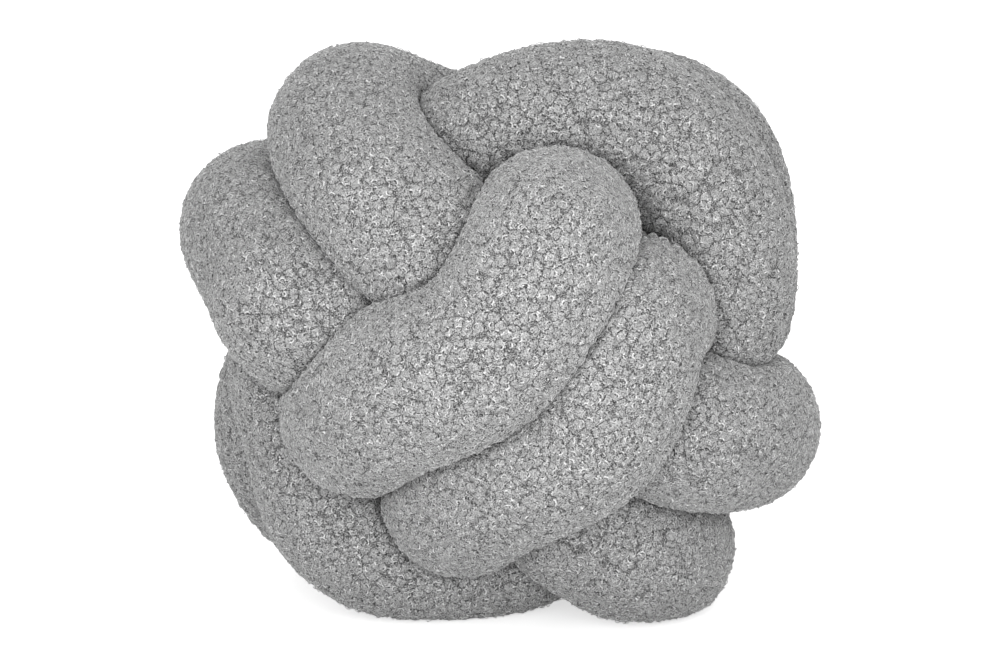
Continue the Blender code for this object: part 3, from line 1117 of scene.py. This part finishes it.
def add_floor(studio):
    """A plain pale floor under the cushion, which looks a little lighter to the camera than it is."""
    half = studio.floor_size / 2.0
    mesh = bpy.data.meshes.new("floor")
    mesh.from_pydata([(-half, -half, 0.0), (half, -half, 0.0), (half, half, 0.0), (-half, half, 0.0)],
                     [], [(0, 1, 2, 3)])
    material, tree, shader = new_material("plain_floor", {
        "Base Color": (*studio.floor_colour, 1.0), "Emission Strength": studio.floor_glow,
        "Roughness": 0.9, "Specular IOR Level": 0.1})
    glow = mix_node(tree, camera_sees(tree), (0.0, 0.0, 0.0, 1.0), (1.0, 1.0, 1.0, 1.0))
    tree.links.new(glow, shader["Emission Color"])
    mesh.materials.append(material)
    floor = bpy.data.objects.new("floor", mesh)
    bpy.context.scene.collection.objects.link(floor)


def add_sky(studio):
    """Even white light from all round, seen by the camera as plain white."""
    world = bpy.data.worlds.new("studio_sky")
    world.use_nodes = True
    tree = world.node_tree
    light = tree.nodes["Background"].inputs
    light["Color"].default_value = (1.0, 1.0, 1.0, 1.0)
    strength = mix_node(tree, camera_sees(tree), studio.sky_strength, 1.0, "FLOAT")
    tree.links.new(strength, light["Strength"])
    bpy.context.scene.world = world
    bpy.context.scene.view_settings.view_transform = "Standard"


def aim(name, thing, place):
    """Put a light or camera into the scene at a place, turned to the middle of the knot."""
    seen = bpy.data.objects.new(name, thing)
    seen.location = place
    seen.rotation_euler = (Vector(KNOT_MIDDLE) - Vector(place)).to_track_quat("-Z", "Y").to_euler()
    bpy.context.scene.collection.objects.link(seen)
    return seen


def add_lights(studio):
    """Two very soft lights, from behind the camera and behind the cushion, and a lamp close in front."""
    softness = math.radians(36.0)
    for name, place, strength in (("key_light", (-1.0, -1.9, 0.9), studio.key_strength),
                                  ("back_light", (0.0, 2.0, 0.7), studio.back_strength)):
        light = bpy.data.lights.new(name, "SUN")
        light.energy = strength
        light.angle = softness
        aim(name, light, place)
    lamp = bpy.data.lights.new("front_lamp", "AREA")
    lamp.size = 0.4
    lamp.energy = studio.front_power
    aim("front_lamp", lamp, (0.03, -0.52, 0.22)).visible_camera = False


def add_camera(studio):
    """The camera, at the height angle at which the cushion is seen."""
    camera = bpy.data.cameras.new("camera")
    camera.lens = studio.camera_lens
    camera.sensor_width = 36.0
    angle = studio.camera_height_angle
    back = Vector((0.0, -math.cos(angle), math.sin(angle)))
    place = Vector(KNOT_MIDDLE) + studio.camera_distance * back
    bpy.context.scene.camera = aim("camera", camera, place)


class KNOT_PT_sidebar(bpy.types.Panel):
    """Sizes, colours and buttons of the knot cushion"""
    bl_idname = "KNOT_PT_sidebar"
    bl_label = "Knot cushion"
    bl_space_type = "VIEW_3D"
    bl_region_type = "UI"
    bl_category = "Knot cushion"

    def draw(self, context):
        for settings in SETTINGS:
            group = getattr(context.scene, settings)
            box = self.layout.box()
            for name in group.__annotations__:
                box.prop(group, name)
        for operator in OPERATORS:
            self.layout.operator(operator.bl_idname)


SETTINGS = {
    "knot_cushion_shape": KnotCushionShape,
    "knot_cushion_pile": KnotCushionPile,
    "knot_cushion_studio": KnotCushionStudio,
}
OPERATORS = (KNOT_OT_add_cloth, KNOT_OT_add_curls, KNOT_OT_add_studio)


def register():
    for name, group in SETTINGS.items():
        bpy.utils.register_class(group)
        setattr(bpy.types.Scene, name, PointerProperty(type=group))
    for kind in (*OPERATORS, KNOT_PT_sidebar):
        bpy.utils.register_class(kind)


def unregister():
    for kind in (KNOT_PT_sidebar, *reversed(OPERATORS)):
        bpy.utils.unregister_class(kind)
    for name, group in reversed(SETTINGS.items()):
        delattr(bpy.types.Scene, name)
        bpy.utils.unregister_class(group)


def main():
    register()
    bpy.ops.knot_cushion.add_cloth()
    bpy.ops.knot_cushion.add_curls()
    bpy.ops.knot_cushion.add_studio()


if __name__ == "__main__":
    main()
